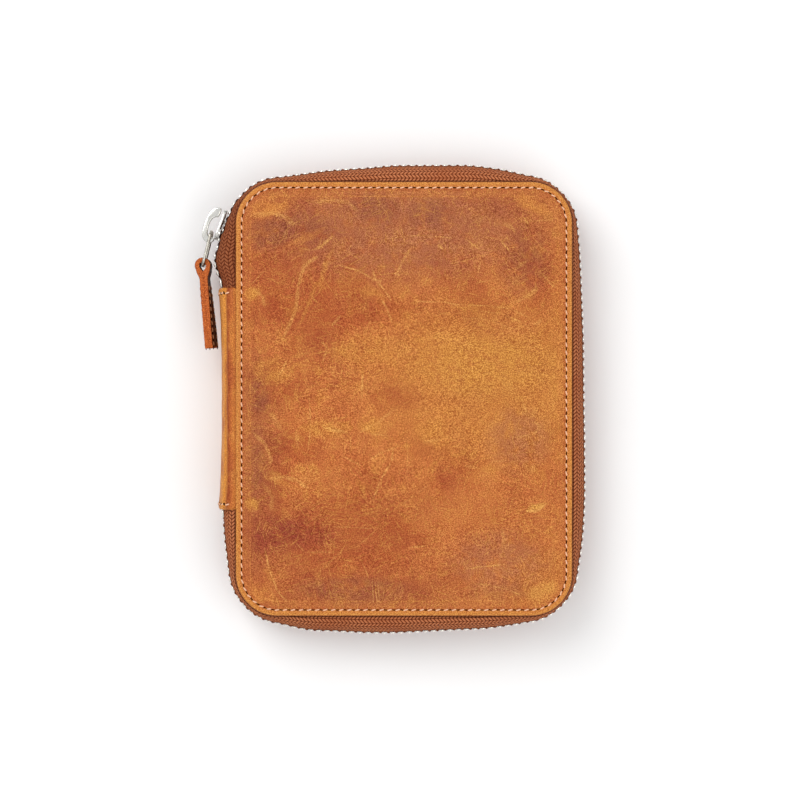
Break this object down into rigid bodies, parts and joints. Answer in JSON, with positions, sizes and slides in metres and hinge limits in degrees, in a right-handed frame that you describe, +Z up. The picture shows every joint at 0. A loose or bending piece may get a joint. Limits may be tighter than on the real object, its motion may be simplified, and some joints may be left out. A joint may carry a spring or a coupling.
{
  "type": "fountain pen case",
  "caption": "Zip-around tan leather case that opens flat on a soft spine, with elastic loops for fountain pens inside both covers and a metal zip slider with a leather pull.",
  "frame": {"origin": "centre of the back cover's outer face, on the surface the closed case lies on", "axes": "+Z up through the closed case's thickness, out of the front cover; +Y along the spine towards the end with the slider; +X away from the spine"},
  "size_m": [0.1627, 0.1944, 0.034],
  "materials": {
    "tan_leather": "waxed pull-up leather, tan, mottled and scuffed",
    "spine_leather": "waxed pull-up leather, creased along its length",
    "pull_leather": "waxed pull-up leather with rough cut edges",
    "panel_leather": "smooth dark brown lining leather",
    "suede_lining": "brushed suede lining",
    "spine_suede": "brushed suede lining",
    "stiffener": "grey bookbinding board",
    "zip_tape": "brown herringbone woven zip tape",
    "zip_metal": "polished nickel zip teeth",
    "elastic": "dark brown woven elastic",
    "slider_metal": "polished nickel zip slider"
  },
  "bodies": {
    "back": {"back_leather": "tan_leather", "back_board": "stiffener", "back_lining": "suede_lining", "back_pen_panel": "panel_leather", "back_upper_band": "elastic", "back_lower_band": "elastic", "back_zip_tape": "zip_tape", "back_zip_teeth": "zip_metal"},
    "spine": {"spine_leather": "spine_leather", "spine_lining": "spine_suede"},
    "front": {"front_leather": "tan_leather", "front_board": "stiffener", "front_lining": "suede_lining", "front_pen_panel": "panel_leather", "front_upper_band": "elastic", "front_lower_band": "elastic", "front_zip_tape": "zip_tape", "front_zip_teeth": "zip_metal"},
    "slider": {"slider_body": "slider_metal", "slider_bridge": "slider_metal"},
    "link": {"puller_link": "slider_metal"},
    "pull": {"pull_tab": "pull_leather"}
  },
  "joints": [
    {"name": "back_fold", "type": "hinge", "parent": "back", "child": "spine", "pos_m": [-0.075, 0, 0.004], "axis": [0, -1, 0], "range_deg": [0, 90], "deforming": ["spine_leather", "spine_lining", "back_zip_tape", "back_zip_teeth"]},
    {"name": "front_fold", "type": "hinge", "parent": "spine", "child": "front", "pos_m": [-0.075, 0, 0.03], "axis": [0, -1, 0], "range_deg": [0, 90], "deforming": ["front_zip_tape", "front_zip_teeth"]},
    {"name": "slider_run", "type": "slide", "parent": "back", "child": "slider", "axis": [-0.3507, -0.9365, 0], "range_m": [-0.006, 0.006]},
    {"name": "link_swing", "type": "hinge", "parent": "slider", "child": "link", "pos_m": [-0.07995, 0.06928, 0.017], "axis": [0, 0, -1], "range_deg": [0, 100]},
    {"name": "pull_swing", "type": "hinge", "parent": "link", "child": "pull", "pos_m": [-0.08341, 0.0553, 0.017], "axis": [0, 0, -1], "range_deg": [0, 110]}
  ],
  "couplings": [
    {"joint": "front_fold", "follows": "back_fold", "ratio": 1}
  ]
}
